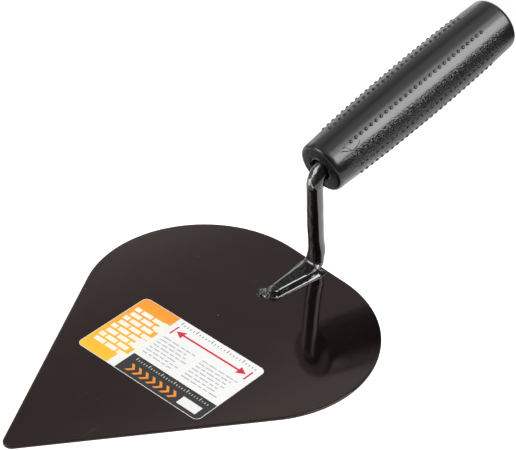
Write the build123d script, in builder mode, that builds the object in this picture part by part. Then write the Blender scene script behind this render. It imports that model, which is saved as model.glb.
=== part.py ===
"""Brick trowel: a heart-shaped steel blade, a bent steel tang welded on it, and a moulded handle.

Frame: +X towards the blade's tip, +Y to the left, +Z up, in millimetres. The origin is on the
blade's underside, in the middle plane, below the neck of the tang.
"""

import os
from math import acos, atan2, cos, degrees, radians, sin, sqrt, tan

from build123d import *

# ---------------------------------------------------------------- driving dimensions

# blade: flat sheet, straight at the heel, round shoulders, straight sides, small round tip
BLADE_LENGTH = 190.0
BLADE_WIDTH = 154.2
BLADE_THICKNESS = 1.2
HEEL_WIDTH = 37.0
TIP_RADIUS = 4.2
HEEL_SETBACK = 4.0  # the heel edge lies this far behind the origin
BLADE_EDGE_BREAK = 0.2

# tang: one round rod, forged flat below the neck and bent into the handle above it
ROD_DIAMETER = 8.4
NECK_FOOT_X = -3.5  # where the neck's axis meets the blade's face
NECK_LEAN = 4.3  # degrees that the neck leans towards the tip
NECK_HEIGHT = 56.3  # blade's face to the corner where the neck's axis meets the handle's axis
HANDLE_RAKE = 15.2  # degrees that the handle rises to the rear
BEND_RADIUS = 9.0
PRONG_LENGTH = 72.0  # rod inside the handle, from the handle's front face
PRONG_POINT = 1.5

# foot: the flattened end of the rod, drop-shaped in plan and turned a little to the left
FOOT_TURN = 3.6  # degrees, about the point where the neck's axis meets the blade
FOOT_WIDTH = 10.8
FOOT_REACH = 33.7  # from that point to the nose
FOOT_NOSE_RADIUS = 2.6
FOOT_THICKNESS = 3.7
FOOT_TOP_ROUND = 0.8
HEEL_DRAW = 2.0  # the foot ends this far ahead of the neck's rear side
HEEL_ROUND = 2.6  # the outside of the bend, where it turns under onto the blade
CORNER_LEAD = 1.6  # the inside of the bend lies this far ahead of the neck's front side
SWELL_HEIGHT = 7.0  # over this height the foot draws in to the round neck

# welds between the foot and the blade
SEAM_LEG = 2.4
SEAM_RISE = 2.2
NOSE_WELD_LEG = 3.4
NOSE_WELD_RISE = 2.6
WELD_CROWN = 0.25

# handle: one moulding, a little barrel-shaped, with a blind socket for the prong
HANDLE_GAP = 3.8  # corner of the rod's axis to the handle's front face
HANDLE_LENGTH = 126.0
HANDLE_FRONT_RADIUS = 13.1
HANDLE_MIDDLE_RADIUS = 15.3
HANDLE_REAR_RADIUS = 14.2
HANDLE_FRONT_ROUND = 1.5
HANDLE_REAR_ROUND = 2.8
SOCKET_FIT = 0.05  # radial clearance between the prong and its bore
SOCKET_END_GAP = 0.5  # between the prong's end and the bottom of its bore
MOUTH_PLAY = 0.15  # clearance of the bend in the wider mouth of the socket
MOUTH_RUN = 2.0  # straight rod in the mouth, behind the bend

# adhesive label on the blade
LABEL_LENGTH = 77.5
LABEL_WIDTH = 45.6
LABEL_THICKNESS = 0.12
LABEL_CORNER = 3.0
LABEL_TO_TIP = 91.0  # label's centre to the blade's tip, along X
LABEL_OFFSET = 4.2  # label's centre to the left of the middle
LABEL_TURN = 94.6  # degrees from +X to the label's length


# ---------------------------------------------------------------- shared geometry


def outer_tangent(rear_centre, rear_radius, front_centre, front_radius):
    """Left-hand tangent of two circles: its unit normal and its two points of contact."""
    line = front_centre - rear_centre
    turn = atan2(line.Y, line.X) + acos((rear_radius - front_radius) / line.length)
    normal = Vector(cos(turn), sin(turn))
    return normal, rear_centre + normal * rear_radius, front_centre + normal * front_radius


def half_drop(rear_x, rear_width, rear_radius, nose_x, nose_radius):
    """Draw the left half of a drop in a BuildLine: rear edge, round shoulder, side and nose."""
    rear_centre = Vector(rear_x + rear_radius, rear_width / 2)
    nose_centre = Vector(nose_x - nose_radius, 0)
    normal, shoulder_end, side_end = outer_tangent(
        rear_centre, rear_radius, nose_centre, nose_radius
    )
    shoulder_turn = 180 - degrees(atan2(normal.Y, normal.X))
    CenterArc(rear_centre, rear_radius, 180, -shoulder_turn)
    Line(shoulder_end, side_end)
    CenterArc(nose_centre, nose_radius, 0, 180 - shoulder_turn)
    if rear_width > 0:
        Line((rear_x, 0), (rear_x, rear_width / 2))


face_z = BLADE_THICKNESS
heel_x = -HEEL_SETBACK
tip_x = heel_x + BLADE_LENGTH

# the rod's axis: up the neck, round the bend and back into the handle, all in the middle plane
neck_foot = Vector(NECK_FOOT_X, 0, face_z)
neck_direction = Vector(sin(radians(NECK_LEAN)), 0, cos(radians(NECK_LEAN)))
handle_direction = Vector(-cos(radians(HANDLE_RAKE)), 0, sin(radians(HANDLE_RAKE)))
rod_corner = neck_foot + neck_direction * (NECK_HEIGHT / neck_direction.Z)
handle_front = rod_corner + handle_direction * HANDLE_GAP
prong_end = handle_front + handle_direction * PRONG_LENGTH
bend_turn = radians(90 + NECK_LEAN - HANDLE_RAKE)
bend_run = BEND_RADIUS * tan(bend_turn / 2)
rod_radius = ROD_DIAMETER / 2

# the handle's own plane: X back along its axis, Y up across it, Z to the left
handle_plane = Plane(origin=handle_front, x_dir=handle_direction, z_dir=(0, 1, 0))
handle_axis = Axis(handle_front, handle_direction)

# the barrel's side is a parabola; its middle control point stands this far from the axis
barrel_pull = 2 * HANDLE_MIDDLE_RADIUS - (HANDLE_FRONT_RADIUS + HANDLE_REAR_RADIUS) / 2

# the part of the bend that lies inside the handle's mouth, and how far from the handle's axis
# the inside of the bend is where it passes the mouth's edge
bend_inside = max(bend_run - HANDLE_GAP, 0)
bend_reach = BEND_RADIUS - sqrt((BEND_RADIUS - rod_radius) ** 2 - bend_inside**2)
mouth_depth = bend_inside + MOUTH_RUN
mouth_radius = bend_reach + MOUTH_PLAY
bore_radius = rod_radius + SOCKET_FIT

# the foot's own plane on the blade's face: X along the foot, from the neck's axis to the nose
foot_direction = (cos(radians(FOOT_TURN)), sin(radians(FOOT_TURN)), 0)
foot_plane = Plane(origin=neck_foot, x_dir=foot_direction, z_dir=(0, 0, 1))
foot_middle = Plane(origin=neck_foot, x_dir=foot_direction, z_dir=-foot_plane.y_dir)

# the foot's plan is a drop: a round rear, straight sides and a round nose
foot_radius = FOOT_WIDTH / 2
foot_rear = HEEL_DRAW - rod_radius
foot_rear_centre = Vector(foot_rear + foot_radius, 0)
foot_nose_centre = Vector(FOOT_REACH - FOOT_NOSE_RADIUS, 0)
seam_normal, seam_rear, seam_front = outer_tangent(
    foot_rear_centre, foot_radius, foot_nose_centre, FOOT_NOSE_RADIUS
)
seam_turn = degrees(atan2(seam_normal.Y, seam_normal.X))
seam_length = (seam_front - seam_rear).length
seam_outward = foot_plane.x_dir * seam_normal.X + foot_plane.y_dir * seam_normal.Y

# ---------------------------------------------------------------- blade

with BuildPart() as blade:
    with BuildSketch(Plane.XY):
        with BuildLine():
            half_drop(heel_x, HEEL_WIDTH, (BLADE_WIDTH - HEEL_WIDTH) / 2, tip_x, TIP_RADIUS)
            mirror(about=Plane.XZ)
        make_face()
    extrude(amount=BLADE_THICKNESS)
    chamfer(blade.faces().sort_by(Axis.Z)[-1].edges(), length=BLADE_EDGE_BREAK)
blade.part.label = "blade"

# ---------------------------------------------------------------- foot of the tang

with BuildPart() as foot:
    with BuildSketch(foot_plane):
        with BuildLine():
            half_drop(foot_rear, 0, foot_radius, FOOT_REACH, FOOT_NOSE_RADIUS)
            mirror(about=Plane.XZ)
        make_face()
    extrude(amount=FOOT_THICKNESS)
    fillet(foot.faces().sort_by(Axis.Z)[-1].edges(), radius=FOOT_TOP_ROUND)
    # the forging draws in from the foot to the round neck
    corner_x = rod_radius + CORNER_LEAD
    swell_base = foot_plane.offset(FOOT_THICKNESS - FOOT_TOP_ROUND)
    swell_top = neck_foot + neck_direction * (FOOT_THICKNESS + SWELL_HEIGHT)
    with BuildSketch(swell_base):
        with Locations(((foot_rear + corner_x) / 2, 0)):
            Ellipse((corner_x - foot_rear) / 2, foot_radius - FOOT_TOP_ROUND / 2)
    with BuildSketch(Plane(origin=swell_top, z_dir=neck_direction)):
        Circle(rod_radius)
    loft()
    # below, the rear turns under in a curve, as the outside of a bend does
    with BuildSketch(foot_middle):
        with Locations((foot_rear, 0)):
            Rectangle(HEEL_ROUND, HEEL_ROUND, align=(Align.MIN, Align.MIN))
        with Locations((foot_rear + HEEL_ROUND, HEEL_ROUND)):
            Circle(HEEL_ROUND, mode=Mode.SUBTRACT)
    extrude(amount=foot_radius, both=True, mode=Mode.SUBTRACT)

# ---------------------------------------------------------------- tang

with BuildPart() as tang:
    with BuildLine() as rod_line:
        FilletPolyline(swell_top, rod_corner, prong_end, radius=BEND_RADIUS)
    with BuildSketch(Plane(origin=rod_line.line @ 0, z_dir=neck_direction)):
        Circle(rod_radius)
    sweep(path=rod_line.line)
    chamfer(tang.faces().sort_by(Axis.X)[0].edges(), length=PRONG_POINT)
    add(foot.part)
tang.part.label = "tang"

# ---------------------------------------------------------------- welds


def across_seam(point):
    """Plane across the left seam at a point of the foot's plan: X outward, Y up, Z to the nose."""
    return Plane(
        origin=foot_plane.from_local_coords(point),
        x_dir=seam_outward,
        z_dir=seam_outward.cross(foot_plane.z_dir),
    )


with BuildPart() as weld_left:
    with BuildSketch(across_seam(seam_rear)):
        with BuildLine():
            SagittaArc((SEAM_LEG, 0), (0, SEAM_RISE), -WELD_CROWN)
            Polyline((0, SEAM_RISE), (0, 0), (SEAM_LEG, 0))
        make_face()
    extrude(amount=seam_length)
weld_left.part.label = "weld_left"

with BuildPart() as weld_right:
    mirror(weld_left.part, about=foot_middle)
weld_right.part.label = "weld_right"

with BuildPart() as weld_nose:
    nose_plane = across_seam(foot_nose_centre)
    with BuildSketch(nose_plane):
        with BuildLine():
            outside = FOOT_NOSE_RADIUS + NOSE_WELD_LEG
            SagittaArc((outside, 0), (FOOT_NOSE_RADIUS, NOSE_WELD_RISE), -WELD_CROWN)
            Polyline((FOOT_NOSE_RADIUS, NOSE_WELD_RISE), (FOOT_NOSE_RADIUS, 0), (outside, 0))
        make_face()
    revolve(axis=Axis(nose_plane.origin, (0, 0, -1)), revolution_arc=2 * seam_turn)
weld_nose.part.label = "weld_nose"

# ---------------------------------------------------------------- handle

with BuildPart() as handle:
    with BuildSketch(handle_plane):
        with BuildLine():
            front_edge = (0, HANDLE_FRONT_RADIUS)
            rear_edge = (HANDLE_LENGTH, HANDLE_REAR_RADIUS)
            Bezier(front_edge, (HANDLE_LENGTH / 2, barrel_pull), rear_edge)
            Polyline(rear_edge, (HANDLE_LENGTH, 0), (0, 0), front_edge)
        make_face()
    revolve(axis=handle_axis)
    rims = handle.edges().filter_by(GeomType.CIRCLE)
    front_rim = rims.group_by(handle_axis)[0]
    rear_rim = rims.group_by(handle_axis)[-1]
    fillet(front_rim, radius=HANDLE_FRONT_ROUND)
    fillet(rear_rim, radius=HANDLE_REAR_ROUND)
    # stepped socket: a wide mouth for the bend, then a close bore for the prong
    with BuildSketch(Plane(origin=handle_front, z_dir=handle_direction)):
        Circle(mouth_radius)
    extrude(amount=mouth_depth, mode=Mode.SUBTRACT)
    with BuildSketch(Plane(origin=handle_front, z_dir=handle_direction)):
        Circle(bore_radius)
    extrude(amount=PRONG_LENGTH + SOCKET_END_GAP, mode=Mode.SUBTRACT)
handle.part.label = "handle"

# ---------------------------------------------------------------- label

with BuildPart() as size_label:
    label_plane = Plane(
        origin=(tip_x - LABEL_TO_TIP, LABEL_OFFSET, face_z),
        x_dir=(cos(radians(LABEL_TURN)), sin(radians(LABEL_TURN)), 0),
        z_dir=(0, 0, 1),
    )
    with BuildSketch(label_plane):
        RectangleRounded(LABEL_LENGTH, LABEL_WIDTH, LABEL_CORNER)
    extrude(amount=LABEL_THICKNESS)
size_label.part.label = "size_label"

# ---------------------------------------------------------------- export

os.makedirs("parts", exist_ok=True)
for piece in (blade, tang, weld_left, weld_right, weld_nose, handle, size_label):
    export_step(piece.part, f"parts/{piece.part.label}.step")
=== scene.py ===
"""Looks of the brick trowel: its visible pieces, finishes, studio and camera, round the CAD frame."""

from math import acos, asin, atan2, copysign, cos, exp, pi, radians, sin, sqrt, tan

import bmesh
import bpy
import numpy as np
from mathutils import Matrix, Vector, noise


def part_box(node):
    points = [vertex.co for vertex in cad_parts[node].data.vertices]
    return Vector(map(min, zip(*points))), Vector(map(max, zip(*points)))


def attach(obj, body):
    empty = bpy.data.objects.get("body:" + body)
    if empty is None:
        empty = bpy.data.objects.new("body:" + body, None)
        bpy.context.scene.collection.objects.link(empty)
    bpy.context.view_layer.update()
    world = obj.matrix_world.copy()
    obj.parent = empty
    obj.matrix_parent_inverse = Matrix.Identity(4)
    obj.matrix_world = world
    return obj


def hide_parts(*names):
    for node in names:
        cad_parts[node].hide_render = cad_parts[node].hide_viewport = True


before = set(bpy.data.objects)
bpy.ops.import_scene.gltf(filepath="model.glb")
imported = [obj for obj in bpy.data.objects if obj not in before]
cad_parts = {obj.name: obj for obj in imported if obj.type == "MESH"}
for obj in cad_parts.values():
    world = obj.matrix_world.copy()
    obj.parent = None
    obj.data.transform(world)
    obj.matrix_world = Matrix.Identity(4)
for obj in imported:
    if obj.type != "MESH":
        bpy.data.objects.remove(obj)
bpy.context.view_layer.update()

# ------------------------------------------------------------------ sizes, in metres

MM = 0.001
UP = Vector((0, 0, 1))
LEFT = Vector((0, 1, 0))

blade_low, blade_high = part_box("blade")
face_z = blade_high.z
heel_x, tip_x = blade_low.x, blade_high.x

HEEL_WIDTH = 37.0 * MM
TIP_RADIUS = 4.2 * MM
BLADE_EDGE_ROUND = 0.3 * MM
BLADE_WAVE = 0.02 * MM  # how far the pressed sheet is from flat

# the rod's axis in the middle plane, as in the CAD
ROD_RADIUS = 4.2 * MM
NECK_FOOT = Vector((-3.5 * MM, 0, face_z))
NECK_LEAN = radians(4.3)
NECK_HEIGHT = 56.3 * MM
HANDLE_RAKE = radians(15.2)
BEND_RADIUS = 9.0 * MM
BEND_FLAT = 0.6 * MM  # how far the bending flattened the outside of the bend
PRONG_LENGTH = 72.0 * MM

# the foot, in its own plane: along it, across it to the left, and up from the blade's face
FOOT_TURN = radians(3.6)
FOOT_RADIUS = 5.4 * MM
FOOT_REAR = -2.2 * MM
FOOT_REACH = 33.7 * MM
FOOT_NOSE_RADIUS = 2.6 * MM
FOOT_THICKNESS = 3.7 * MM
FOOT_BURR = 0.4 * MM  # the forging stands out this far on the left side
FOOT_WEAR = 0.3 * MM  # and is worn back this far on the right
FOOT_TILT = radians(3)  # the top falls to the left
INNER_BEND = 1.6 * MM
HEEL_POWER = 3.4  # of the superellipse that rounds the heel
FLARE_LEFT = 0.5 * MM  # the neck is this much wider where it meets the foot
FLARE_LEFT_RUN = 11.0 * MM
FLARE_RIGHT = 1.0 * MM
FLARE_FRONT = 0.35 * MM
FLARE_RUN = 6.0 * MM
HEEL_LEAN = 0.4 * MM  # the neck's rear side draws in by this much at the foot
HEEL_BEVEL = 1.5  # power of the ellipse quarter that rounds the heel's left corner

HANDLE_GAP = 3.8 * MM
HANDLE_LENGTH = 126.0 * MM
HANDLE_FRONT_RADIUS = 13.1 * MM
HANDLE_MIDDLE_RADIUS = 15.3 * MM
HANDLE_REAR_RADIUS = 14.2 * MM
HANDLE_FRONT_ROUND = 1.6 * MM
HANDLE_REAR_ROUND = 2.8 * MM
MOUTH_RADIUS = 5.65 * MM
MOUTH_DEPTH = 5.6 * MM
BORE_RADIUS = 4.25 * MM

NUB_ROWS = 12
NUB_COUNT = 28
NUB_FIRST = 14.8 * MM
NUB_PITCH = 3.41 * MM
NUB_FIRST_ANGLE = radians(54.0)
SMOOTH_BAND = radians(59.0)
SMOOTH_TOP = (radians(34), radians(104))  # the skin is smooth between these angles
SMOOTH_ENDS = 8 * MM  # and this far in from the ends
NUB_RADIUS = 0.95 * MM
NUB_HEIGHT = 0.52 * MM

LABEL_LENGTH = 77.5 * MM
LABEL_WIDTH = 45.6 * MM
LABEL_CORNER = 3.0 * MM
LABEL_TURN = radians(94.6)
label_low, label_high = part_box("size_label")
label_centre = (label_low + label_high) / 2
label_thickness = label_high.z - label_low.z
INK = 0.012 * MM  # thickness of one printed layer

neck_direction = Vector((sin(NECK_LEAN), 0, cos(NECK_LEAN)))
neck_front = Vector((cos(NECK_LEAN), 0, -sin(NECK_LEAN)))
handle_direction = Vector((-cos(HANDLE_RAKE), 0, sin(HANDLE_RAKE)))
handle_up = Vector((sin(HANDLE_RAKE), 0, cos(HANDLE_RAKE)))
rod_corner = NECK_FOOT + neck_direction * (NECK_HEIGHT / neck_direction.z)
handle_front = rod_corner + handle_direction * HANDLE_GAP
foot_direction = Vector((cos(FOOT_TURN), sin(FOOT_TURN), 0))
foot_left = Vector((-sin(FOOT_TURN), cos(FOOT_TURN), 0))
foot_nose = FOOT_REACH - FOOT_NOSE_RADIUS
foot_rear_centre = FOOT_REAR + FOOT_RADIUS
foot_taper = asin((FOOT_RADIUS - FOOT_NOSE_RADIUS) / (foot_nose - foot_rear_centre))


def foot_point(along, across, height):
    """A point of the foot's own plane, in the row frame."""
    return NECK_FOOT + foot_direction * along + foot_left * across + UP * height


# ------------------------------------------------------------------ mesh helpers


def add_object(name, data):
    """A new object of some data, in the scene."""
    made = bpy.data.objects.new(name, data)
    bpy.context.scene.collection.objects.link(made)
    return made


def new_mesh(name, vertices, faces, smooth=True):
    """A mesh object, at the origin, from vertices in the row frame."""
    mesh = bpy.data.meshes.new(name)
    mesh.from_pydata([tuple(v) for v in vertices], [], faces)
    mesh.validate()
    for polygon in mesh.polygons:
        polygon.use_smooth = smooth
    return add_object(name, mesh)


def shells_object(name, shells):
    """One object of closed tubes, its faces turned outward.

    Each tube is (rings, start, end), its ends closed on the points start and end.
    """
    vertices, faces = [], []
    for rings, start, end in shells:
        first, around = len(vertices), len(rings[0])
        for ring in rings:
            vertices.extend(ring)
        vertices += [start, end]
        last = first + (len(rings) - 1) * around
        for i in range(around):
            j = (i + 1) % around
            for low in range(first, last, around):
                faces.append((low + i, low + j, low + around + j, low + around + i))
            faces.append((first + j, first + i, len(vertices) - 2))
            faces.append((last + i, last + j, len(vertices) - 1))
    made = new_mesh(name, vertices, faces)
    work = bmesh.new()
    work.from_mesh(made.data)
    bmesh.ops.recalc_face_normals(work, faces=work.faces)
    if work.calc_volume(signed=True) < 0:
        bmesh.ops.reverse_faces(work, faces=work.faces)
    work.to_mesh(made.data)
    work.free()
    return made


def full_turn(count):
    """Angles at equal steps round a circle."""
    return np.linspace(0, 2 * pi, count, endpoint=False)


def ring_middle(ring):
    return sum(ring, Vector()) / len(ring)


def arc_points(centre, radius, start, stop, count):
    """Points of an arc in a plane, angles in radians."""
    angles = np.linspace(start, stop, count)
    return np.stack([centre[0] + radius * np.cos(angles), centre[1] + radius * np.sin(angles)], 1)


def resample(points, count):
    """Points at equal steps along a closed line."""
    closed = np.vstack([points, points[:1]])
    steps = np.hypot(*np.diff(closed, axis=0).T)
    along = np.concatenate([[0], np.cumsum(steps)])
    wanted = np.linspace(0, along[-1], count, endpoint=False)
    return np.stack([np.interp(wanted, along, closed[:, k]) for k in (0, 1)], 1)


def mix(a, b, share):
    return a + (b - a) * share


def smooth_step(share):
    share = min(max(share, 0.0), 1.0)
    return share * share * (3 - 2 * share)


def waviness(point, size, depth):
    """A small smooth height at a point, with bumps of about that size."""
    return depth * noise.noise(Vector(point) / size)


# ------------------------------------------------------------------ blade


def blade_outline():
    """The blade's edge, anticlockwise from above, as points in the plan."""
    shoulder_radius = (blade_high.y - blade_low.y - HEEL_WIDTH) / 2
    shoulder = np.array([heel_x + shoulder_radius, HEEL_WIDTH / 2])
    tip = np.array([tip_x - TIP_RADIUS, 0])
    line = tip - shoulder
    turn = atan2(line[1], line[0])
    turn += acos((shoulder_radius - TIP_RADIUS) / np.hypot(*line))
    nose = arc_points(tip, TIP_RADIUS, 0, turn, 24)
    round_shoulder = arc_points(shoulder, shoulder_radius, turn, pi, 240)
    left = np.vstack([nose, round_shoulder])
    right = (left * (1, -1))[::-1]
    return resample(np.vstack([left, right[:-1]]), 640)


def make_blade():
    """Thin sheet with rolled edges, on rings that shrink towards a point of its middle line."""
    outline = blade_outline()
    middle = np.array([mix(heel_x, tip_x, 0.36), 0])
    reach = outline - middle
    length = np.hypot(*reach.T)[:, None]
    rings = []

    def add_ring(share, inset, z, wave):
        plan = middle + reach * (share - inset / length)
        lift = [wave * noise.noise(Vector((x, y, 0)) * 22) for x, y in plan]
        rings.append(np.column_stack([plan, z + np.array(lift)]))

    for share in np.linspace(0.03, 0.985, 30):
        add_ring(share, 0, face_z, BLADE_WAVE)
    for turn in np.linspace(0, pi / 2, 6):
        inset = BLADE_EDGE_ROUND * (1 - sin(turn))
        add_ring(1, inset, face_z - BLADE_EDGE_ROUND * (1 - cos(turn)), 0)
    under = BLADE_EDGE_ROUND / 2
    for turn in np.linspace(0, pi / 2, 4):
        inset = under * (1 - cos(turn))
        add_ring(1, inset, blade_low.z + under * (1 - sin(turn)), 0)
    for share in (0.7, 0.3, 0.05):
        add_ring(share, 0, blade_low.z, 0)
    ends = (*middle, face_z), (*middle, blade_low.z)
    return shells_object("blade_plate", [(rings, *ends)])


# ------------------------------------------------------------------ tang

AROUND = 96


def corner(share, half_width, half_depth, round_width, round_depth, power):
    """A point of a rounded rectangle's first quarter, from its side round to its top."""
    if share < 0.25:
        return half_width, (half_depth - round_depth) * share / 0.25
    if share > 0.75:
        return (half_width - round_width) * (1 - share) / 0.25, half_depth
    turn = pi * (share - 0.25)
    across = half_width - round_width * (1 - cos(turn) ** (2 / power))
    return across, half_depth - round_depth * (1 - sin(turn) ** (2 / power))


def section(
    centre, across, facing, half_widths, half_depths,
    corners=((0, 0, 2),) * 4, round_shares=(1,) * 4, powers=(2,) * 4,
):
    """One ring of the tang, made of four quarters from +across towards +facing.

    Each quarter is between a corner of a rounded rectangle, whose rounding has a width, a depth
    and a power, and a superellipse of its own power, which it becomes as its share goes to 1.
    The widths are to +across and -across, the depths to +facing and -facing.
    """
    points = []
    for angle in full_turn(AROUND):
        quarter = min(int(angle / (pi / 2)), 3)
        c, s = cos(angle), sin(angle)
        half_width, half_depth = half_widths[c < -1e-9], half_depths[s < -1e-9]
        u = half_width * abs(c) ** (2 / powers[quarter])
        v = half_depth * abs(s) ** (2 / powers[quarter])
        part = angle / (pi / 2) - quarter
        if quarter % 2:
            part = 1 - part
        square_u, square_v = corner(part, half_width, half_depth, *corners[quarter])
        u = mix(square_u, u, round_shares[quarter]) * copysign(1, c)
        v = mix(square_v, v, round_shares[quarter]) * copysign(1, s)
        points.append(centre + across * u + facing * v)
    return points


def foot_half_width(along):
    """Half the foot's width at a place along it."""
    if along > foot_nose + FOOT_NOSE_RADIUS * sin(foot_taper):
        return sqrt(max(FOOT_NOSE_RADIUS**2 - (along - foot_nose) ** 2, 0))
    lean = (along - foot_rear_centre) * sin(foot_taper)
    return (FOOT_RADIUS - lean) / cos(foot_taper)


def foot_corners(along, half_width):
    """Rounding of the foot's section: bevelled left edge, worn right edge, square below.

    It keeps within the half width where the nose draws in.
    """
    square = (0.2 * MM, 0.2 * MM, 2)
    near_heel = 1 - smooth_step((along - 5 * MM) / (12 * MM))
    bevelled = (mix(0.6, 1.4, near_heel) * MM, mix(0.49, 1.1, near_heel) * MM, 1.3)
    to_nose = smooth_step((along - 8 * MM) / (23 * MM))
    worn = (mix(3.65, 2.2, to_nose) * MM, mix(2.0, 1.3, to_nose) * MM, 2)
    corners = (bevelled, worn, square, square)
    return [(min(w, 0.9 * half_width), d, power) for w, d, power in corners]


def foot_rings(pivot_along, pivot_height, heel_reach):
    """Rings of the straight foot, then of the tight bend at the heel, which fans on a pivot."""
    rings = []
    round_nose = [foot_nose + FOOT_NOSE_RADIUS * sin(a) for a in np.linspace(1.5, 0, 10)]
    for along in round_nose + list(np.linspace(foot_nose, pivot_along, 60))[1:]:
        height = FOOT_THICKNESS - 0.5 * MM * smooth_step((along - foot_nose) / (2 * MM) + 1)
        height += waviness((along, 0, 0), 6 * MM, 0.12 * MM)
        width = foot_half_width(along) + waviness((along, 5 * MM, 0), 5 * MM, 0.12 * MM)
        widths = (width + FOOT_BURR, width - FOOT_WEAR)
        centre = foot_point(along, 0, height / 2)
        depths = (height / 2,) * 2
        corners = foot_corners(along, width)
        ring = section(centre, foot_left, UP, widths, depths, corners, (0,) * 4)
        rings.append([tilted(point, along) for point in ring])
    pivot = foot_point(pivot_along, 0, pivot_height)
    width = foot_half_width(pivot_along)
    for turn in np.linspace(0, pi / 2, 30)[1:]:
        outward = -foot_direction * sin(turn) - UP * cos(turn)
        down = pivot_height / max(cos(turn), 1e-6)
        back = heel_reach / max(sin(turn), 1e-6)
        reach = (down**-HEEL_POWER + back**-HEEL_POWER) ** (-1 / HEEL_POWER)
        half_depth = (reach - INNER_BEND) / 2
        centre = pivot + outward * (INNER_BEND + half_depth)
        slow = smooth_step(turn / (pi / 2))
        fast = smooth_step((turn - 0.2) / 0.6)
        widths = (
            mix(width + FOOT_BURR, ROD_RADIUS + FLARE_LEFT, slow),
            mix(width - FOOT_WEAR, ROD_RADIUS + FLARE_RIGHT, slow),
        )
        shares = (slow, slow, fast, fast)
        powers = (2, 2, 2, mix(2, HEEL_BEVEL, fast))
        depths = (half_depth,) * 2
        corners = foot_corners(pivot_along, width)
        ring = section(centre, foot_left, -outward, widths, depths, corners, shares, powers)
        rings.append([tilted(point, pivot_along, 1 - slow) for point in ring])
    return rings


def tilted(point, along, share=1.0):
    """Lower a point of the foot's upper half as its top falls to the left."""
    across = (point - NECK_FOOT).dot(foot_left)
    high = min(max((point.z - face_z) / FOOT_THICKNESS, 0), 1)
    across += 0.2 * foot_half_width(along)
    return point - UP * (tan(FOOT_TILT) * across * high * share)


# short raised burrs on the rod's front below the bend: their ends as (across, up from the
# blade's face), how high they stand and half their width, in millimetres
BURRS = (((-0.75, 53.6), (0.0, 51.9), 0.14, 0.55), ((0.35, 53.3), (2.2, 51.0), 0.12, 0.36))


def burr_height(point):
    """How far the burrs push out a point of the rod's front."""
    place = np.array([point.y, point.z - face_z]) / MM
    height = 0
    for start, end, high, half_width in BURRS:
        line = np.subtract(end, start)
        share = (place - start) @ line / (line @ line)
        away = np.hypot(*(place - start - line * min(max(share, 0), 1)))
        height += high * MM * exp(-0.5 * (away / half_width) ** 2)
    return height


def burred(ring, centre, front):
    """A ring of the rod with its burrs."""
    pushed = []
    for point in ring:
        out = (point - centre).normalized()
        facing = smooth_step(2 * out.dot(front))
        pushed.append(point + out * burr_height(point) * facing)
    return pushed


def neck_rings(pivot_height):
    """Rings up the neck, round the bend and into the handle."""
    rings = []
    bend_turn = pi / 2 + NECK_LEAN - HANDLE_RAKE
    bend_run = BEND_RADIUS * tan(bend_turn / 2)
    neck_start = NECK_FOOT + neck_direction * (pivot_height / neck_direction.z)
    neck_end = rod_corner - neck_direction * bend_run
    neck_length = (neck_end - neck_start).length
    for share in np.linspace(0, 1, 90)[1:]:
        along = share * neck_length
        bow = sin(pi * share) * (0.2 - 2.0 * (1 - share) ** 8) * MM
        low = 1 - smooth_step(along / FLARE_RUN)
        low_left = 1 - smooth_step((along - 3 * MM) / (FLARE_LEFT_RUN - 3 * MM))
        centre = neck_start + neck_direction * along + neck_front * bow
        across = ROD_RADIUS + waviness((along, 0, 0), 9 * MM, 0.16 * MM)
        front = ROD_RADIUS + waviness((along, 9 * MM, 0), 8 * MM, 0.16 * MM)
        widths = (across + FLARE_LEFT * low_left, across + FLARE_RIGHT * low)
        depths = (front + FLARE_FRONT * low, ROD_RADIUS - HEEL_LEAN * low)
        powers = (2, 2, 2, mix(2, HEEL_BEVEL, low))
        ring = section(centre, LEFT, neck_front, widths, depths, powers=powers)
        rings.append(burred(ring, centre, neck_front))
    bend_centre = neck_end - neck_front * BEND_RADIUS
    for turn in np.linspace(0, bend_turn, 40)[1:]:
        outward = neck_front * cos(turn) + neck_direction * sin(turn)
        centre = bend_centre + outward * BEND_RADIUS
        worked = sin(pi * turn / bend_turn) ** 2
        across = ROD_RADIUS + 0.2 * MM * worked
        depths = (ROD_RADIUS - BEND_FLAT * worked, ROD_RADIUS)
        ring = section(centre, LEFT, outward, (across,) * 2, depths)
        rings.append(burred(ring, centre, outward))
    prong_start = rod_corner + handle_direction * bend_run
    prong_run = PRONG_LENGTH + HANDLE_GAP - bend_run
    for share in np.linspace(0, 1, 12)[1:]:
        centre = prong_start + handle_direction * prong_run * share
        sides = (ROD_RADIUS if share < 1 else ROD_RADIUS * 0.7,) * 2
        rings.append(section(centre, LEFT, handle_up, sides, sides))
    return rings


def make_tang():
    pivot_height = FOOT_THICKNESS + INNER_BEND
    pivot_along = tan(NECK_LEAN) * pivot_height + ROD_RADIUS + FLARE_FRONT + INNER_BEND
    heel_reach = 2 * ROD_RADIUS + FLARE_FRONT + INNER_BEND - HEEL_LEAN
    rings = foot_rings(pivot_along, pivot_height, heel_reach) + neck_rings(pivot_height)
    prong_end = handle_front + handle_direction * PRONG_LENGTH
    nose_end = foot_point(FOOT_REACH, 0, FOOT_THICKNESS / 2)
    return shells_object("tang_forging", [(rings, nose_end, prong_end)])


# ------------------------------------------------------------------ welds

# across a seam: outward from the foot's wall, and up from the blade's face, in millimetres;
# a straight steep face, whose top is sunk in the foot, then a short hollow toe
SEAM_TOP = 0.32
SEAM_PROFILE = (
    (0.02, 3.22), (SEAM_TOP, 2.88), (0.7, 2.42), (1.1, 1.9), (1.52, 1.38), (1.9, 0.84),
    (2.22, 0.46), (2.45, 0.27), (2.75, 0.15), (3.15, 0.06), (3.7, 0.0),
)
SEAM_WRAP = radians(20)  # the seam runs on round the heel by this much
SEAM_WRAP_STEPS = 12
NOSE_WRAP = radians(60)  # and round the nose, where it sinks into the weld there
NOSE_WRAP_STEPS = 10


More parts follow.
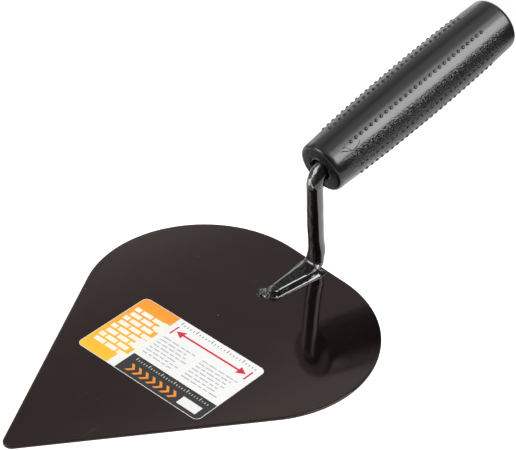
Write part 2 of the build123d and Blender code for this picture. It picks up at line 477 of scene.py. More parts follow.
def foot_spoke(angle):
    """A direction in the foot's plane, turned from the nose to the left."""
    return foot_direction * cos(angle) + foot_left * sin(angle)


def seam_path(side):
    """Points and outward directions of one seam, from behind the heel to the nose."""
    path = []
    contact = pi / 2 - foot_taper
    for angle in np.linspace(contact + SEAM_WRAP, contact, SEAM_WRAP_STEPS + 1)[:-1]:
        path.append((foot_rear_centre, FOOT_RADIUS, angle))
    for share in np.linspace(0, 1, 110):
        centre = mix(foot_rear_centre, foot_nose, share)
        path.append((centre, mix(FOOT_RADIUS, FOOT_NOSE_RADIUS, share), contact))
    for angle in np.linspace(contact, contact - NOSE_WRAP, NOSE_WRAP_STEPS + 1)[1:]:
        path.append((foot_nose, FOOT_NOSE_RADIUS, angle))
    points = []
    for centre, radius, angle in path:
        outward = foot_spoke(side * angle)
        points.append((foot_point(centre, 0, 0) + outward * radius, outward))
    return points


def make_seam(name, side, seed, width, tall):
    """A weld bead along one side of the foot, wide at the heel and narrow at the nose."""
    path = seam_path(side)
    rings = []
    travelled = 0
    for number, (point, outward) in enumerate(path):
        travelled += (point - path[max(number - 1, 0)][0]).length
        share = travelled / FOOT_REACH
        sunk = smooth_step((number - len(path) + NOSE_WRAP_STEPS + 3) / NOSE_WRAP_STEPS)
        spread = mix(1.0, 0.5, share) * width * mix(1.0, 0.35, sunk)
        rise = mix(0.22, 1.0, smooth_step(travelled / (5 * MM))) * mix(1.0, 0.55, sunk) * tall
        ring = []
        for out, high in SEAM_PROFILE:
            lump = waviness(point + outward * out * MM + UP * (high + seed) * MM, 2.6 * MM, 0.12)
            lump += waviness(point + UP * (high + seed) * MM, 1.1 * MM, 0.04)
            lump *= min(1, high, 3.35 - high)
            across = (SEAM_TOP + (out - SEAM_TOP) * spread + lump) * MM
            ring.append(point + outward * across + UP * (high * rise + lump / 2) * MM)
        for low in (0.0, 1.0, 2.0):
            ring.append(point - outward * 0.9 * MM + UP * low * rise * MM)
        rings.append([Vector((p.x, p.y, max(p.z, face_z))) for p in ring])
    return shells_object(name, [(rings, ring_middle(rings[0]), ring_middle(rings[-1]))])


# down a weld's side: outward from the middle of the foot's nose, and up, in millimetres
COLLAR_PROFILE = (
    (1.6, 2.8), (2.45, 2.72), (2.8, 2.4), (3.05, 1.9), (3.3, 1.3), (3.55, 0.7), (3.8, 0.32),
    (4.2, 0.1), (4.8, 0.0),
)


def collar_shell():
    """The steep side of the weld that runs round the nose."""
    rings = []
    for out, high in COLLAR_PROFILE:
        ring = []
        for angle in full_turn(96):
            way = foot_spoke(angle)
            rough = mix(0.5, 0.15, smooth_step(sin(angle) + 0.5))
            lump = waviness((way.x, way.y, out * 0.5), 0.45, rough) * min(1, high + 0.2)
            point = foot_point(foot_nose, 0, 0) + way * (out + lump) * MM
            ring.append(point + UP * max(high + lump * 0.5 * min(1, high), 0) * MM)
        rings.append(ring)
    return rings, foot_point(foot_nose, 0, 2.8 * MM), foot_point(foot_nose, 0, 0)


def dome_shell(along, across, half_sizes, depth, around=16, down=5):
    """A lumpy dome of metal on the blade's face."""
    middle = foot_point(along, across, -0.02 * MM)
    rings = []
    for drop in np.linspace(0.08, pi / 2, down):
        ring = []
        for angle in full_turn(around):
            way = Vector((
                sin(drop) * cos(angle), sin(drop) * sin(angle), cos(drop)
            ))
            lump = 1 + waviness(way + middle * 300, 0.45, depth)
            lump += waviness(way + middle * 300, 0.2, depth * 0.5)
            point = middle + foot_direction * way.x * half_sizes[0] * lump
            point += foot_left * way.y * half_sizes[1] * lump + UP * way.z * half_sizes[2] * lump
            ring.append(point)
        rings.append(ring)
    return rings, ring_middle(rings[0]), middle


def make_nose_blob():
    """The weld round the foot's nose, a low lumpy mound ahead of it, and its spatter."""
    mound_along, mound_across = 34.2 * MM, -2.6 * MM
    mound_sizes = (2.9 * MM, 3.0 * MM, 1.7 * MM)
    shells = [collar_shell(), dome_shell(mound_along, mound_across, mound_sizes, 0.3, 90, 26)]
    draw = np.random.default_rng(7)
    for _ in range(22):
        angle, far = draw.uniform(-2.6, 1.3), draw.uniform(2.2, 4.4) * MM
        size, tall = draw.uniform(0.25, 0.6) * MM, draw.uniform(0.5, 0.8)
        along = mound_along + far * cos(angle)
        across = mound_across + far * sin(angle)
        shells.append(dome_shell(along, across, (size, size, size * tall), 0.2))
    return shells_object("weld_nose_bead", shells)


# ------------------------------------------------------------------ handle


def barrel_radius(station):
    """Radius of the handle's barrel, a parabola along its length."""
    share = station / HANDLE_LENGTH
    pull = 2 * HANDLE_MIDDLE_RADIUS - (HANDLE_FRONT_RADIUS + HANDLE_REAR_RADIUS) / 2
    front = (1 - share) ** 2 * HANDLE_FRONT_RADIUS
    return front + 2 * share * (1 - share) * pull + share**2 * HANDLE_REAR_RADIUS


def handle_profile(stations):
    """(station, radius) down the socket's mouth, over the front rim, along and round the rear."""
    profile = [
        (MOUTH_DEPTH, BORE_RADIUS), (MOUTH_DEPTH, MOUTH_RADIUS * 0.9),
        (MOUTH_DEPTH * 0.9, MOUTH_RADIUS), (0.5 * MM, MOUTH_RADIUS),
        (0.12 * MM, MOUTH_RADIUS + 0.1 * MM), (0, MOUTH_RADIUS + 0.45 * MM),
    ]
    rim = HANDLE_FRONT_RADIUS - HANDLE_FRONT_ROUND
    profile += [(0, mix(MOUTH_RADIUS, rim, share)) for share in (0.3, 0.6, 0.9)]
    for turn in np.linspace(0, pi / 2, 10)[:-1]:
        swing = HANDLE_FRONT_ROUND * (1 - cos(turn))
        profile.append((swing, rim + HANDLE_FRONT_ROUND * sin(turn)))
    profile += [(station, barrel_radius(station)) for station in stations]
    rear = barrel_radius(HANDLE_LENGTH - HANDLE_REAR_ROUND) - HANDLE_REAR_ROUND
    for turn in np.linspace(0, pi / 2, 12)[1:]:
        station = HANDLE_LENGTH - HANDLE_REAR_ROUND * (1 - sin(turn))
        profile.append((station, rear + HANDLE_REAR_ROUND * cos(turn)))
    profile += [(HANDLE_LENGTH, rear * share) for share in (0.8, 0.5, 0.2)]
    return profile


def handle_spoke(angle):
    """A direction out from the handle's axis, at an angle up from its left."""
    return LEFT * cos(angle) + handle_up * sin(angle)


def handle_point(station, angle, radius):
    """A point of the handle: metres from its front, angle up from its left, and radius."""
    return handle_front + handle_direction * station + handle_spoke(angle) * radius


# from a nub's side in to its middle: shares of its radius and height
NUB_PROFILE = (
    (1.0, -0.5), (1.0, 0.05), (0.96, 0.3), (0.86, 0.52), (0.7, 0.72), (0.5, 0.87), (0.3, 0.96),
    (0.12, 1.0),
)


def nub_shell(station, angle):
    """One round nub, sunk a little in the barrel."""
    spoke = handle_spoke(angle)
    sideways = handle_direction.cross(spoke)
    seat = handle_point(station, angle, barrel_radius(station) - 0.03 * MM)
    rings = []
    for out, high in NUB_PROFILE:
        base = seat + spoke * high * NUB_HEIGHT
        ways = [handle_direction * cos(t) + sideways * sin(t) for t in full_turn(18)]
        rings.append([base + way * out * NUB_RADIUS for way in ways])
    return rings, seat - spoke * NUB_HEIGHT * 0.5, seat + spoke * NUB_HEIGHT


def make_handle():
    """Barrel with twelve rows of round nubs; a wide band on top is left smooth."""
    stations = np.linspace(HANDLE_FRONT_ROUND, HANDLE_LENGTH - HANDLE_REAR_ROUND, 70)
    rings = [
        [handle_point(station, angle, radius) for angle in full_turn(144)]
        for station, radius in handle_profile(stations)
    ]
    mouth_end = handle_front + handle_direction * MOUTH_DEPTH
    shells = [(rings, mouth_end, handle_front + handle_direction * HANDLE_LENGTH)]
    row_step = (2 * pi - SMOOTH_BAND) / (NUB_ROWS - 1)
    for row in range(NUB_ROWS):
        angle = NUB_FIRST_ANGLE - row * row_step
        for column in range(NUB_COUNT):
            shells.append(nub_shell(NUB_FIRST + column * NUB_PITCH, angle))
    return shells_object("handle_moulding", shells)


# flow marks in the moulding: stations in millimetres and angles in degrees along each mark
FLOW_MARKS = (
    ((7, 50), (8.5, 49.5), (10, 45), (11.5, 40.5)),
    ((11, 51.5), (11.7, 45), (12.6, 39.5), (14, 38), (15.4, 39), (16.4, 40), (18, 42), (19, 46)),
    ((9.4, 54), (11, 51.5)),
    ((13.8, 35), (15, 31.5)),
    ((15.3, 36), (16.5, 32), (17, 28)),
    ((18, 37), (18.4, 31.5), (18, 26.5)),
    ((12.6, 39.5), (11.5, 40.5)),
    ((14.5, 33), (16.2, 29.5), (16.6, 25)),
    ((106.5, -14), (108.5, -15)),
)
MARK_WIDTH = 0.45 * MM


def make_flow_marks():
    """Thin dark ribbons that lie on the barrel, tapered at their ends."""
    shells = []
    for mark in FLOW_MARKS:
        places = np.array([(station * MM, radians(angle)) for station, angle in mark])
        count = 6 * (len(places) - 1) + 1
        steps = np.linspace(0, len(places) - 1, count)
        track = np.stack([np.interp(steps, range(len(places)), places[:, k]) for k in (0, 1)], 1)
        line = [handle_point(s, a, barrel_radius(s)) for s, a in track]
        rings = []
        for number, (station, angle) in enumerate(track):
            spoke = handle_spoke(angle)
            ahead = (line[min(number + 1, count - 1)] - line[max(number - 1, 0)]).normalized()
            side = spoke.cross(ahead)
            half = MARK_WIDTH / 2 * (0.35 + 0.65 * sin(pi * number / (count - 1)))
            half *= 1 + waviness(line[number], 0.7 * MM, 0.5)
            wander = side * waviness(line[number], 1.1 * MM, 0.25 * MM)
            ring = []
            for across, high in ((1, 0), (0.5, 0.05), (-0.5, 0.05), (-1, 0), (0, -0.1)):
                ring.append(line[number] + wander + side * half * across + spoke * high * MM)
            rings.append(ring)
        shells.append((rings, ring_middle(rings[0]), ring_middle(rings[-1])))
    return shells_object("handle_flow_marks", shells)


# ------------------------------------------------------------------ label


def label_point(u, v, z):
    """A point of the label: u along its length, v across it, from its centre."""
    c, s = cos(LABEL_TURN), sin(LABEL_TURN)
    return (label_centre.x + u * c - v * s, label_centre.y + u * s + v * c, z)


def label_outline(inset=0.0):
    """The label's rounded outline in (u, v), anticlockwise."""
    half_u, half_v = LABEL_LENGTH / 2 - inset, LABEL_WIDTH / 2 - inset
    radius = LABEL_CORNER - inset
    points = []
    for quarter, (su, sv) in enumerate(((1, 1), (-1, 1), (-1, -1), (1, -1))):
        centre = (su * (half_u - radius), sv * (half_v - radius))
        start = quarter * pi / 2
        points.append(arc_points(centre, radius, start, start + pi / 2, 10))
    return np.vstack(points)


def clip(polygon, fence):
    """The part of a polygon inside a convex, anticlockwise fence."""
    for a, b in zip(fence, np.roll(fence, -1, axis=0)):
        side = b - a
        kept = []
        for p, q in zip(polygon, polygon[1:] + polygon[:1]):
            inside_p = side[0] * (p[1] - a[1]) - side[1] * (p[0] - a[0])
            inside_q = side[0] * (q[1] - a[1]) - side[1] * (q[0] - a[0])
            if inside_p >= 0:
                kept.append(p)
            if inside_p * inside_q < 0:
                share = inside_p / (inside_p - inside_q)
                kept.append((p[0] + (q[0] - p[0]) * share, p[1] + (q[1] - p[1]) * share))
        polygon = kept
        if len(polygon) < 3:
            return []
    return polygon


def prisms_object(name, polygons, base, height):
    """Flat prisms on the label, one for each polygon in (u, v)."""
    vertices, faces = [], []
    for polygon in polygons:
        count, first = len(polygon), len(vertices)
        vertices += [label_point(u, v, base) for u, v in polygon]
        vertices += [label_point(u, v, base + height) for u, v in polygon]
        faces.append(tuple(range(first + count - 1, first - 1, -1)))
        faces.append(tuple(range(first + count, first + 2 * count)))
        for i in range(count):
            j = (i + 1) % count
            faces.append((first + i, first + j, first + count + j, first + count + i))
    return new_mesh(name, vertices, faces, smooth=False)


def shape(*corners):
    """A polygon from corners in millimetres."""
    return [(u * MM, v * MM) for u, v in corners]


def bar(u, v, width, height):
    """A rectangle from its lower left corner, in millimetres."""
    return shape((u, v), (u + width, v), (u + width, v + height), (u, v + height))


def toothed_field(u, tooth, course, courses):
    """The left end of the label up to u, its edge toothed like the end of a brick wall."""
    corners = [(-45.0, -25.0)]
    for number in range(courses):
        edge = u + tooth * (number % 2)
        low = (number - courses / 2) * course
        corners += [(edge, low), (edge, low + course)]
    return shape(*corners, (-45.0, 25.0))


def chevron(u, v, width, height, stroke):
    """An arrowhead stroke that points to +u."""
    middle = v + height / 2
    return shape(
        (u, v), (u + stroke, v), (u + width + stroke, middle), (u + stroke, v + height),
        (u, v + height), (u + width, middle),
    )


def double_arrow(left, right, v, stroke, head):
    """A straight line with a solid arrowhead at each end."""
    half = stroke / 2
    wide = head * 0.55
    return shape(
        (left, v), (left + head, v - wide), (left + head, v - half), (right - head, v - half),
        (right - head, v - wide), (right, v), (right - head, v + wide), (right - head, v + half),
        (left + head, v + half), (left + head, v + wide),
    )


def label_print():
    """Generic print, by ink: the layer that it lies on, and its shapes."""
    draw = np.random.default_rng(7)
    # left: an orange field with courses of pale bricks
    orange = [toothed_field(-19.0, 3.4, 7.6, 6)]
    brick, joint = 6.4, 1.0
    pale = []
    for course in range(8):
        for number in range(3):
            left = -35.6 + (number - course % 2 / 2) * (brick + joint)
            start = max(left, -36.4)
            pale.append(bar(start, -15.2 + course * 3.9, left + brick - start, 2.7))
    # low edge: a black field with a row of orange arrowheads, and a scale of white ticks
    black = [bar(-14.0, -25.0, 60.0, 15.4)]
    strokes = [chevron(-9.5 + i * 4.4, -20.4, 2.4, 5.2, 1.7) for i in range(7)]
    ticks = [bar(-10.0 + i * 1.6, -12.6, 0.45, 1.0 if i % 5 else 1.9) for i in range(29)]
    panel = [bar(23.4, -20.4, 11.6, 5.2)]
    # white field: a red line of measure between two stops, grey ticks and grey rules
    red = [double_arrow(-10.5, 33.5, 14.6, 1.1, 4.6)]
    red += [bar(stop, 11.4, 0.9, 6.4) for stop in (-12.4, 34.5)]
    bars = [bar(-12.4 + i * 1.95, 19.4, 0.4, 1.1 if i % 5 else 2.2) for i in range(25)]
    grey = []
    for column in (-12.4, 12.6):
        for line in range(7):
            u = column
            stop = column + draw.uniform(17.0, 22.5)
            while u < stop:
                word = min(draw.uniform(1.8, 5.2), stop - u)
                grey.append(bar(u, 7.6 - line * 2.3, word, 0.6))
                u += word + 0.9
    return {
        "orange": (0, orange), "black": (0, black), "pale": (1, pale), "panel": (1, panel),
        "ticks": (1, ticks), "strokes": (1, strokes), "bars": (0, bars), "red": (0, red),
        "grey": (0, grey),
    }


def make_label():
    """The label's sheet, and one thin piece of print for each ink."""
    fence = label_outline()
    sheet = prisms_object("label_sheet", [[tuple(p) for p in fence]], face_z, label_thickness)
    inks = {}
    print_fence = label_outline(0.25 * MM)
    for ink, (layer, shapes) in label_print().items():
        clipped = [c for c in (clip(outline, print_fence) for outline in shapes) if len(c) > 2]
        base = face_z + label_thickness + layer * INK
        inks[ink] = prisms_object(f"label_{ink}", clipped, base, INK)
    return sheet, inks


# ------------------------------------------------------------------ materials


def new_material(name):
    material = bpy.data.materials.new(name)
    material.use_nodes = True
    return material, material.node_tree, material.node_tree.nodes["Principled BSDF"]


def feed(target, socket, source):
    """Link a source to a socket of a node, or set the socket to a constant."""
    if isinstance(source, bpy.types.NodeSocket):
        target.id_data.links.new(source, target.inputs[socket])
    else:
        target.inputs[socket].default_value = source


def fed(shader, socket):
    """What is linked to a socket of a shader."""
    return shader.inputs[socket].links[0].from_socket


def node(kind, sockets, **settings):
    """Add a node to its sources' tree, set its properties, and link or set its sockets."""
    sources = [value for value in sockets.values() if isinstance(value, bpy.types.NodeSocket)]
    made = sources[0].id_data.nodes.new("ShaderNode" + kind)
    for key, value in settings.items():
        setattr(made, key, value)
    for key, value in sockets.items():
        feed(made, key, value)
    return made


def object_place(tree):
    """Where a point is in the row frame."""
    return tree.nodes.new("ShaderNodeTexCoord").outputs["Object"]


def axis_of(vector, axis):
    return node("SeparateXYZ", {"Vector": vector}).outputs[axis]


def ramp(source, stops):
    """A colour ramp of (position, colour) stops; a bare number is a grey."""
    made = node("ValToRGB", {"Fac": source})
    elements = made.color_ramp.elements
    while len(elements) < len(stops):
        elements.new(0.5)
    for element, (position, colour) in zip(elements, stops):
        element.position = position
        if isinstance(colour, (int, float)):
            colour = (colour, colour, colour)
        element.color = (*colour, 1)
    return made.outputs["Color"]


def sums(operation, first, second):
    """One step of arithmetic on two values."""
    made = node("Math", {0: first, 1: second}, operation=operation)
    return made.outputs["Value"]


def vectors(operation, first, second):
    """One step of arithmetic on two vectors."""
    made = node("VectorMath", {0: first, 1: second}, operation=operation)
    scalar = operation in ("DOT_PRODUCT", "DISTANCE", "LENGTH")
    return made.outputs["Value" if scalar else "Vector"]


def turned(vector, **changes):
    """A vector moved, turned and scaled."""
    return node("Mapping", {"Vector": vector, **changes}).outputs["Vector"]


def rescaled(value, low, high, first=0.0, last=1.0, **settings):
    """A value between low and high turned into one between first and last."""
    ends = {"From Min": low, "From Max": high, "To Min": first, "To Max": last}
    return node("MapRange", {"Value": value, **ends}, **settings).outputs["Result"]


def bump(height, strength, distance, **under):
    """A bumped normal, on top of the normal under it."""
    sockets = {"Height": height, "Strength": strength, "Distance": distance, **under}
    return node("Bump", sockets).outputs["Normal"]


def blend(share, low, high):
    """From the colour low to the colour high by a share."""
    made = node("Mix", {0: share, 6: low, 7: high}, data_type="RGBA")
    return made.outputs[2]


def noise_value(place, scale, detail=3.0):
    """Cloudy noise with about that many waves to the metre."""
    sockets = {"Vector": place, "Scale": scale, "Detail": detail}
    return node("TexNoise", sockets).outputs["Fac"]


def hairlines(place, turn, seed):
    """Faint long scratches that all run one way."""
    moved = {"Location": (seed, 0, 0), "Rotation": (0, 0, turn), "Scale": (28, 420, 1)}
    stretched = turned(place, **moved)
    return ramp(noise_value(stretched, 1.0, 2.0), [(0.7, 0.0), (0.76, 1.0)])


def specks(place, scale, size):
    """Grains of dust, about one to each cell of 1/scale metres."""
    cells = node("TexVoronoi", {"Vector": place, "Scale": scale})
    grain = ramp(cells.outputs["Distance"], [(0.0, 1.0), (size * 0.5, 1.0), (size, 0.0)])
    patchy = ramp(noise_value(place, 30.0), [(0.48, 0.0), (0.62, 1.0)])
    return sums("MULTIPLY", grain, patchy)


def gloss_paint(name, base, dust, roughness, peel):
    """Dipped black paint: a slight peel and clouding, with dust and hairline scratches."""
    material, tree, shader = new_material(name)
    place = object_place(tree)
    cloud = noise_value(place, 45.0, 4.0)
    marks = specks(place, 120.0, 0.045)
    for turn, seed in ((0.5, 1.0), (-0.9, 4.0)):
        line = sums("MULTIPLY", hairlines(place, turn, seed), 0.07)
        marks = sums("MAXIMUM", marks, line)
    shade = ramp(cloud, [(0.3, base), (0.75, tuple(c * 1.3 for c in base))])
    feed(shader, "Base Color", blend(marks, shade, (*dust, 1)))
    rough = ramp(cloud, [(0.3, roughness), (0.8, roughness * 1.7)])
    rough = sums("MAXIMUM", rough, sums("MULTIPLY", marks, 0.5))
    feed(shader, "Roughness", rough)
    feed(shader, "Normal", bump(noise_value(place, 500.0, 2.0), peel, 0.1 * MM))
    return material, tree, shader


def scuffs_and_painted_sheen(tree, shader):
    """Rub marks running up and down the neck's front side, with a painted reflection: the side of the
    neck facing forward and to the right is painted a lighter grey.
    """
    normal = tree.nodes.new("ShaderNodeNewGeometry").outputs["Normal"]
    # mask of the neck's side that faces forward and to the right, where the lighter grey is a painted
    # reflection
    facing = vectors("DOT_PRODUCT", normal, (0.9, -0.42, 0.1))
    side = ramp(facing, [(0.5, 0.0), (0.78, 1.0)])
    stretched = turned(object_place(tree), Scale=(900, 900, 230))
    streaks = ramp(noise_value(stretched, 1.0, 3.0), [(0.36, 0.15), (0.62, 1.0)])
    scuffs_and_sheen = sums("MULTIPLY", streaks, side)
    # mix in light grey: partly real rub marks, partly a painted reflection on that side
    worn = blend(scuffs_and_sheen, fed(shader, "Base Color"), (0.1, 0.095, 0.09, 1))
    feed(shader, "Base Color", worn)
    feed(shader, "Normal", bump(scuffs_and_sheen, 0.5, 0.08 * MM, Normal=fed(shader, "Normal")))


def chip_paint(tree, shader):
    """Bare steel along the burrs below the bend, where the paint has chipped off."""
    place = object_place(tree)
    upright = vectors("MULTIPLY", place, (0, 1, 1))
    chips = 0.0
    for start, end, _, half_width in BURRS:
        first = Vector((0, start[0] * MM, start[1] * MM + face_z))
        line = Vector((0, (end[0] - start[0]) * MM, (end[1] - start[1]) * MM))
        local = vectors("SUBTRACT", upright, first)
        share = vectors("DOT_PRODUCT", local, line / line.length_squared)
        share = node("Clamp", {"Value": share}).outputs["Result"]
        away = vectors("DISTANCE", local, vectors("MULTIPLY", line, share))
        rough = sums("MULTIPLY", noise_value(place, 1500.0), 0.5 * MM)
        away = sums("ADD", away, sums("SUBTRACT", rough, 0.25 * MM))
        edges = (half_width * 0.8 * MM, half_width * 1.15 * MM)
        chips = sums("MAXIMUM", chips, rescaled(away, *edges, 1.0, 0.0))
    front = sums("GREATER_THAN", axis_of(place, "X"), 0.0)
    chips = sums("MULTIPLY", chips, front)
    steel = blend(chips, fed(shader, "Base Color"), (0.62, 0.6, 0.58, 1))
    feed(shader, "Base Color", steel)
    feed(shader, "Metallic", chips)
    rough = sums("MULTIPLY", chips, 0.38)
    feed(shader, "Roughness", sums("MAXIMUM", fed(shader, "Roughness"), rough))


def dull_foot_top(tree, shader):
    """The foot's flat top reflects less: where it faces up and lies low, its specular level drops to
    a low, grainy value.
    """
    geometry = tree.nodes.new("ShaderNodeNewGeometry")
    level = axis_of(geometry.outputs["Normal"], "Z")
    height = axis_of(geometry.outputs["Position"], "Z")
    low = sums("LESS_THAN", height, face_z + FOOT_THICKNESS + 0.6 * MM)
    dull_top = sums("MULTIPLY", ramp(level, [(0.965, 0.0), (0.99, 1.0)]), low)
    grain = noise_value(object_place(tree), 1300.0)
    dull = ramp(grain, [(0.4, 0.02), (0.62, 0.2)])
    feed(shader, "Specular IOR Level", blend(dull_top, (0.5, 0.5, 0.5, 1), dull))


def window(value, low, high, edge):
    """1 where a value lies between low and high, with soft edges, else 0."""
    middle, half = (low + high) / 2, (high - low) / 2
    away = sums("ABSOLUTE", sums("SUBTRACT", value, middle), 0.0)
    edges = (half - edge, half + edge)
    return rescaled(away, *edges, 1.0, 0.0, interpolation_type="SMOOTHSTEP")


def handle_plastic():
    """Black moulded plastic: pebbled between the rows of nubs, smoother on top and at the ends."""
    material, tree, shader = new_material("handle_plastic")
    place = object_place(tree)
    local = vectors("SUBTRACT", place, handle_front)
    station, height, side = [
        vectors("DOT_PRODUCT", local, way) for way in (handle_direction, handle_up, LEFT)
    ]
    angle = sums("ARCTAN2", height, side)
    cloud = noise_value(place, 60.0, 5.0)
    shade = ramp(cloud, [(0.3, (0.006, 0.006, 0.0064)), (0.75, (0.009, 0.0086, 0.009))])
    feed(shader, "Base Color", shade)
    top = window(angle, *SMOOTH_TOP, radians(6))
    ends = window(station, SMOOTH_ENDS, HANDLE_LENGTH - SMOOTH_ENDS, 5 * MM)
    pebbled = sums("MULTIPLY", sums("SUBTRACT", 1.0, top), ends)
    feed(shader, "Roughness", ramp(cloud, [(0.3, 0.21), (0.8, 0.29)]))
    fine = bump(noise_value(place, 2600.0), 0.2, 0.06 * MM)
    pebbles = noise_value(place, 1050.0, 2.0)
    feed(shader, "Normal", bump(pebbles, pebbled, 0.42 * MM, Normal=fine))
    return material


def dark_film():
    """Matt black, for the flow marks."""
    material, tree, shader = new_material("flow_mark")
    cloud = noise_value(object_place(tree), 900.0)
    feed(shader, "Base Color", ramp(cloud, [(0.3, 0.003), (0.75, 0.012)]))
    feed(shader, "Roughness", 0.6)
    feed(shader, "Specular IOR Level", 0.25)
    return material


def printed(name, colour, other=None):
    """Smooth printed label stock; with two colours it grades across the label."""
    material, tree, shader = new_material(name)
    along = turned(object_place(tree), Rotation=(0, 0, -LABEL_TURN))
    fibre = noise_value(along, 700.0)
    if other is None:
        shade = ramp(fibre, [(0.35, tuple(c * 0.94 for c in colour)), (0.65, colour)])
    else:
        edges = (turned_label_y(-LABEL_WIDTH / 2), turned_label_y(LABEL_WIDTH / 2))
        across = rescaled(axis_of(along, "Y"), *edges)
        shade = ramp(across, [(0.0, colour), (1.0, other)])
    feed(shader, "Base Color", shade)
    feed(shader, "Roughness", 0.32)
    feed(shader, "Normal", bump(fibre, 0.05, 0.1 * MM))
    return material


def turned_label_y(v):
    """Object coordinate Y, turned to the label, of a line at v across it."""
    x, y, _ = label_point(0, v, 0)
    return -x * sin(LABEL_TURN) + y * cos(LABEL_TURN)


# ------------------------------------------------------------------ pieces


def paint(obj, material):
    obj.data.materials.clear()
    obj.data.materials.append(material)


def place_piece(piece, material, node_name=None):
    """Give a piece its material and its body, and hide the CAD node that it stands for."""
    paint(piece, material)
    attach(piece, "root")
    if node_name:
        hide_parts(node_name)


blade_paint, _, blade_shader = gloss_paint(
    "blade_paint", (0.0048, 0.0035, 0.0032), (0.16, 0.15, 0.14), 0.06, 0.01
)
feed(blade_shader, "Specular Tint", (1.0, 0.68, 0.63, 1))
place_piece(make_blade(), blade_paint, "blade")

tang_paint, tang_tree, tang_shader = gloss_paint(
    "tang_paint", (0.006, 0.0052, 0.005), (0.12, 0.11, 0.10), 0.09, 0.05
)
feed(tang_shader, "IOR", 1.75)
# rub marks, with a painted reflection on the neck's forward-right side
scuffs_and_painted_sheen(tang_tree, tang_shader)
chip_paint(tang_tree, tang_shader)
dull_foot_top(tang_tree, tang_shader)
place_piece(make_tang(), tang_paint, "tang")

weld_paint, _, weld_shader = gloss_paint(
    "weld_paint", (0.005, 0.0046, 0.0044), (0.14, 0.13, 0.12), 0.1, 0.1
)
feed(weld_shader, "IOR", 1.75)
place_piece(make_seam("weld_left_bead", 1, 0, 1.0, 1.0), weld_paint, "weld_left")
right_bead = make_seam("weld_right_bead", -1, 40, 0.5, 0.62)
place_piece(right_bead, weld_paint, "weld_right")
place_piece(make_nose_blob(), weld_paint, "weld_nose")

place_piece(make_handle(), handle_plastic(), "handle")
place_piece(make_flow_marks(), dark_film())

# the colour of each ink; the orange grades to a second one across the label
INKS = {
    "orange": [(0.93, 0.52, 0.03), (0.88, 0.30, 0.025)],
    "black": [(0.018, 0.016, 0.016)],
    "pale": [(0.93, 0.88, 0.74)],
    "panel": [(0.82, 0.82, 0.80)],
    "ticks": [(0.55, 0.55, 0.54)],
    "strokes": [(0.80, 0.27, 0.03)],
    "bars": [(0.06, 0.06, 0.06)],
    "red": [(0.62, 0.02, 0.05)],
    "grey": [(0.40, 0.41, 0.43)],
}
label_sheet, label_inks = make_label()
label_paper = printed("label_paper", (0.86, 0.86, 0.85))
place_piece(label_sheet, label_paper, "size_label")
for ink, piece in label_inks.items():
    place_piece(piece, printed("ink_" + ink, *INKS[ink]))

# ------------------------------------------------------------------ studio

FLOOR_CENTRE = (0.03, 0)
FLOOR_RADIUS = 0.3
FLOOR_DROP = 0.15 * MM  # the floor lies this far under the blade
# the floor's colour and the glow that mirrors see are graded from near the trowel to far out, a
# painted pool of light that is greyer further away
FLOOR_FADE = (0.07, 0.1)  # where it grows greyer, from the frame's origin
FLOOR_PAINTED_FALLOFF = ((0.0, 0.85), (1.0, 0.6))  # its colour before and after that
FLOOR_GLOW = 0.9
FAR_GLOW = 0.5  # what mirrors see of its glow far out
WORLD_LIGHT = (0.05, 0.05, 0.05, 1)
WHITE = (1, 1, 1, 1)
STUDIO_CENTRE = Vector((0.0, 0.0, 0.06))
LAMP_DISTANCE = 1.2

# what shiny surfaces see of the room, from low down to overhead, as the eye tilts its head;
# the side wall to the left of the trowel is dark
ROOM_TILT = radians(17.8)
ROOM_SIDE = Vector((-0.724, 0.690, 0))
ROOM_TOP = UP * cos(ROOM_TILT) + ROOM_SIDE * sin(ROOM_TILT)
ROOM = (
    (0.0, 1.0), (0.1, 1.0), (0.3, 0.85), (0.5, 0.85), (0.545, 1.0), (0.56, 0.72), (0.575, 0.5),
    (0.6, 0.46), (0.62, 0.48), (0.63, 0.62), (0.65, 1.0), (0.67, 0.9), (0.7, 0.4), (0.82, 0.4),
    (0.9, 1.0), (1.0, 1.2),
)
DARK_WALL = ((0.35, 1.0), (0.7, 0.12))
# so is the part of the room above and behind the camera
ROOM_BACK = Vector((0.690, 0.724, 0))
DARK_BACK = ((0.25, 1.0), (0.55, 0.15))
# and the wall ahead of the trowel's right side
ROOM_RIGHT = Vector((0.35, -0.937, 0))
DARK_RIGHT = ((0.68, 1.0), (0.9, 0.3))


def background_rays(tree):
    """1 for the rays that see the background: camera, glossy and transmission rays."""
    path = tree.nodes.new("ShaderNodeLightPath")
    seen = path.outputs["Is Camera Ray"]
    for name in ("Is Glossy Ray", "Is Transmission Ray"):
        seen = sums("MAXIMUM", seen, path.outputs[name])
    return seen, path.outputs["Is Camera Ray"]


def make_world():
    """White behind the object, a graded room for reflections, and a weak fill light."""
    world = bpy.data.worlds.new("studio")
    world.use_nodes = True
    bpy.context.scene.world = world
    tree = world.node_tree
    seen, camera_only = background_rays(tree)
    direction = tree.nodes.new("ShaderNodeTexCoord").outputs["Generated"]
    graded = 1.0
    for axis, stops in (
        (ROOM_SIDE, DARK_WALL), (ROOM_BACK, DARK_BACK), (ROOM_RIGHT, DARK_RIGHT), (ROOM_TOP, ROOM)
    ):
        shade = ramp(vectors("DOT_PRODUCT", direction, axis), stops)
        graded = sums("MULTIPLY", graded, shade)
    room = blend(camera_only, graded, WHITE)
    feed(tree.nodes["Background"], "Color", blend(seen, WORLD_LIGHT, room))
    feed(tree.nodes["Background"], "Strength", 1.0)


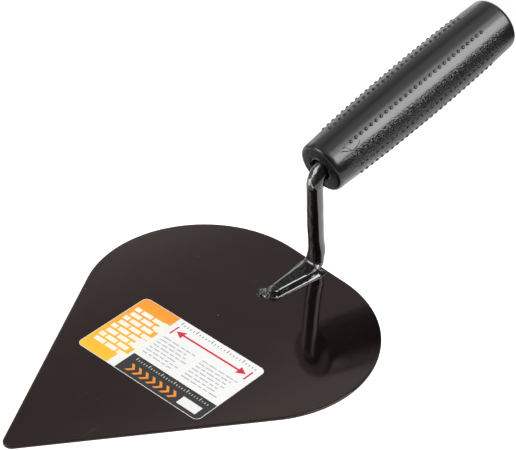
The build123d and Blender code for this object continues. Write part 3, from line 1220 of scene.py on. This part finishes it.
def make_floor():
    """A round white table top under the blade, with a painted pool of light: its colour, and the glow
    that mirrors see, grow greyer far out.
    """
    rim = arc_points(FLOOR_CENTRE, FLOOR_RADIUS, 0, 2 * pi, 129)[:-1]
    points = [(x, y, blade_low.z - FLOOR_DROP) for x, y in rim]
    floor = new_mesh("floor", points, [tuple(range(len(points)))], smooth=False)
    material, tree, shader = new_material("floor")
    away = vectors("LENGTH", object_place(tree), (0, 0, 0))
    far = rescaled(away, *FLOOR_FADE)
    # painted falloff of light in the floor's own colour
    feed(shader, "Base Color", ramp(far, FLOOR_PAINTED_FALLOFF))
    feed(shader, "Roughness", 0.9)
    feed(shader, "Specular IOR Level", 0.0)
    feed(shader, "Emission Color", WHITE)
    seen, camera_only = background_rays(tree)
    # painted falloff of light in the glow that mirrors see
    mirrored = ramp(far, [(0.0, FLOOR_GLOW), (1.0, FAR_GLOW)])
    bright = blend(camera_only, mirrored, (FLOOR_GLOW, FLOOR_GLOW, FLOOR_GLOW, 1))
    feed(shader, "Emission Strength", sums("MULTIPLY", seen, bright))
    paint(floor, material)


def make_lamp(name, direction, size, radiance):
    """A soft box that faces the object, its width along X, its brightness given as a radiance."""
    data = bpy.data.lights.new(name, "AREA")
    data.shape = "RECTANGLE"
    data.size, data.size_y = size
    data.energy = radiance * pi * size[0] * size[1]
    lamp = add_object(name, data)
    towards = Vector(direction).normalized()
    lamp.location = STUDIO_CENTRE + towards * LAMP_DISTANCE
    along = (Vector((1, 0, 0)) - towards * towards.x).normalized()
    turn = Matrix((along, towards.cross(along), towards)).transposed()
    lamp.rotation_euler = turn.to_euler()


make_world()
make_floor()
make_lamp("right_box", (-0.33, 0.70, 0.63), (0.8, 0.62), 10.0)
make_lamp("top_box", (-0.25, 0.40, 0.88), (0.9, 0.4), 3.4)
make_lamp("left_box", (0.70, -0.50, 0.50), (0.6, 0.7), 6.4)
make_lamp("low_box", (-0.45, -0.86, 0.12), (1.9, 0.3), 1.2)

# ------------------------------------------------------------------ camera

CAMERA_AZIMUTH = radians(136.34)
CAMERA_ELEVATION = radians(36.58)
CAMERA_ROLL = radians(1.02)
CAMERA_DISTANCE = 0.874
CAMERA_LENS = 120.14
CAMERA_AIM = Vector((-4.2 * MM, -43.2 * MM, face_z))


def make_camera():
    """The camera looks down at the aim from the left of the tip, rolled a little."""
    level = cos(CAMERA_ELEVATION)
    back = Vector((
        sin(CAMERA_AZIMUTH) * level,
        -cos(CAMERA_AZIMUTH) * level,
        sin(CAMERA_ELEVATION),
    ))
    right = UP.cross(back).normalized()
    up = back.cross(right)
    data = bpy.data.cameras.new("camera")
    data.lens = CAMERA_LENS
    data.sensor_width = 36.0
    data.clip_start, data.clip_end = 0.05, 20.0
    camera = add_object("camera", data)
    turn = Matrix((right, up, back)).transposed().to_4x4()
    turn @= Matrix.Rotation(CAMERA_ROLL, 4, "Z")
    camera.matrix_world = Matrix.Translation(CAMERA_AIM + back * CAMERA_DISTANCE) @ turn
    bpy.context.scene.camera = camera


make_camera()
bpy.context.scene.view_settings.view_transform = "Standard"
